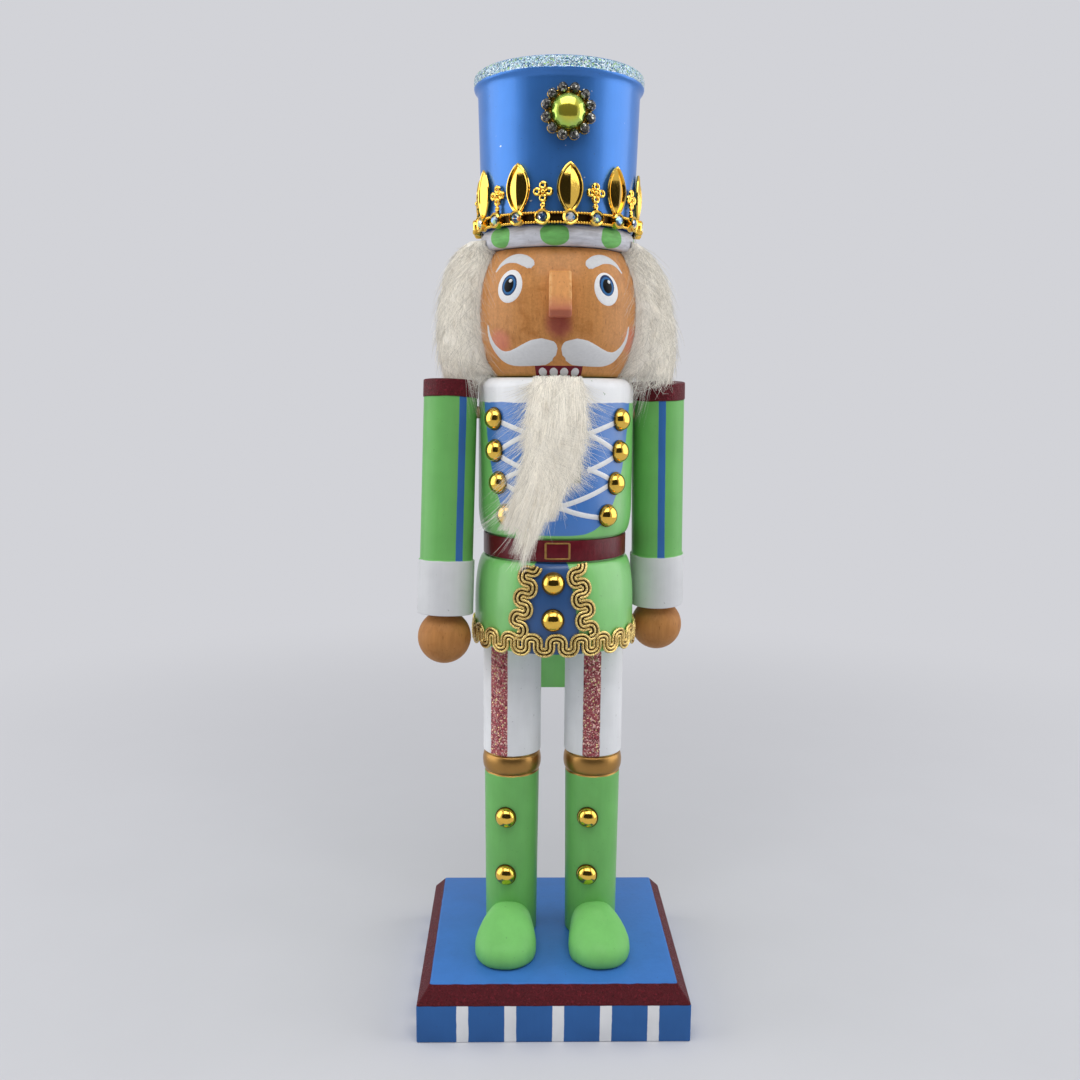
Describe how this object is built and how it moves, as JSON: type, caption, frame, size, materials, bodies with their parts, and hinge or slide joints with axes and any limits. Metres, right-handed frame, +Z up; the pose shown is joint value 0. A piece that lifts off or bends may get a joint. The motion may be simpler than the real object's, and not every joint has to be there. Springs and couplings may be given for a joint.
{
  "type": "nutcracker figure",
  "caption": "Turned wooden nutcracker soldier on a bevelled block, with fur hair and beard, tall crowned hat, gold studs and braid, and a jaw opened by a lever at the back.",
  "frame": {"origin": "middle of the base's underside, on the surface that it stands on", "axes": "+Z up, -Y towards the front of the figure, -X towards the figure's own right side"},
  "size_m": [0.114, 0.103, 0.381],
  "materials": {
    "blue_paint": "glossy blue paint on turned wood",
    "green_paint": "satin light green paint on turned wood",
    "white_paint": "satin white paint on turned wood",
    "tan_wood": "stained and varnished wood with fine grain",
    "bare_wood": "unpainted dowel",
    "belt": "maroon strip, satin",
    "fur": "off-white long pile fur",
    "steel": "plain steel pin",
    "gold_trim": "gold metallised plastic, polished",
    "gimp_braid": "gold metallic thread braid"
  },
  "bodies": {
    "figure": {"base": "blue_paint", "belt": "belt", "body": "green_paint", "crown_trim": "gold_trim", "hair": "fur", "hat": "blue_paint", "hat_band": "white_paint", "hat_dowel": "bare_wood", "head": "tan_wood", "hem_braid": "gimp_braid", "jaw_pin": "steel", "left_arm": "green_paint", "left_arm_dowel": "bare_wood", "left_base_dowel": "bare_wood", "left_boot_stud_1": "gold_trim", "left_boot_stud_2": "gold_trim", "left_chest_stud_1": "gold_trim", "left_chest_stud_2": "gold_trim", "left_chest_stud_3": "gold_trim", "left_chest_stud_4": "gold_trim", "left_front_braid": "gimp_braid", "left_hand": "tan_wood", "left_hand_dowel": "bare_wood", "left_hip_dowel": "bare_wood", "left_leg": "green_paint", "left_neck_dowel": "bare_wood", "left_shoe": "green_paint", "medallion_dome": "gold_trim", "medallion_setting": "gold_trim", "nose": "tan_wood", "right_arm": "green_paint", "right_arm_dowel": "bare_wood", "right_base_dowel": "bare_wood", "right_boot_stud_1": "gold_trim", "right_boot_stud_2": "gold_trim", "right_chest_stud_1": "gold_trim", "right_chest_stud_2": "gold_trim", "right_chest_stud_3": "gold_trim", "right_chest_stud_4": "gold_trim", "right_front_braid": "gimp_braid", "right_hand": "tan_wood", "right_hand_dowel": "bare_wood", "right_hip_dowel": "bare_wood", "right_leg": "green_paint", "right_neck_dowel": "bare_wood", "right_shoe": "green_paint", "skirt_stud_1": "gold_trim", "skirt_stud_2": "gold_trim"},
    "jaw": {"jaw_lever": "green_paint", "beard": "fur"}
  },
  "joints": [
    {"name": "jaw_hinge", "type": "hinge", "parent": "figure", "child": "jaw", "pos_m": [0, 0, 0.2378], "axis": [1, 0, 0], "range_deg": [0, 25], "deforming": ["beard"]}
  ]
}
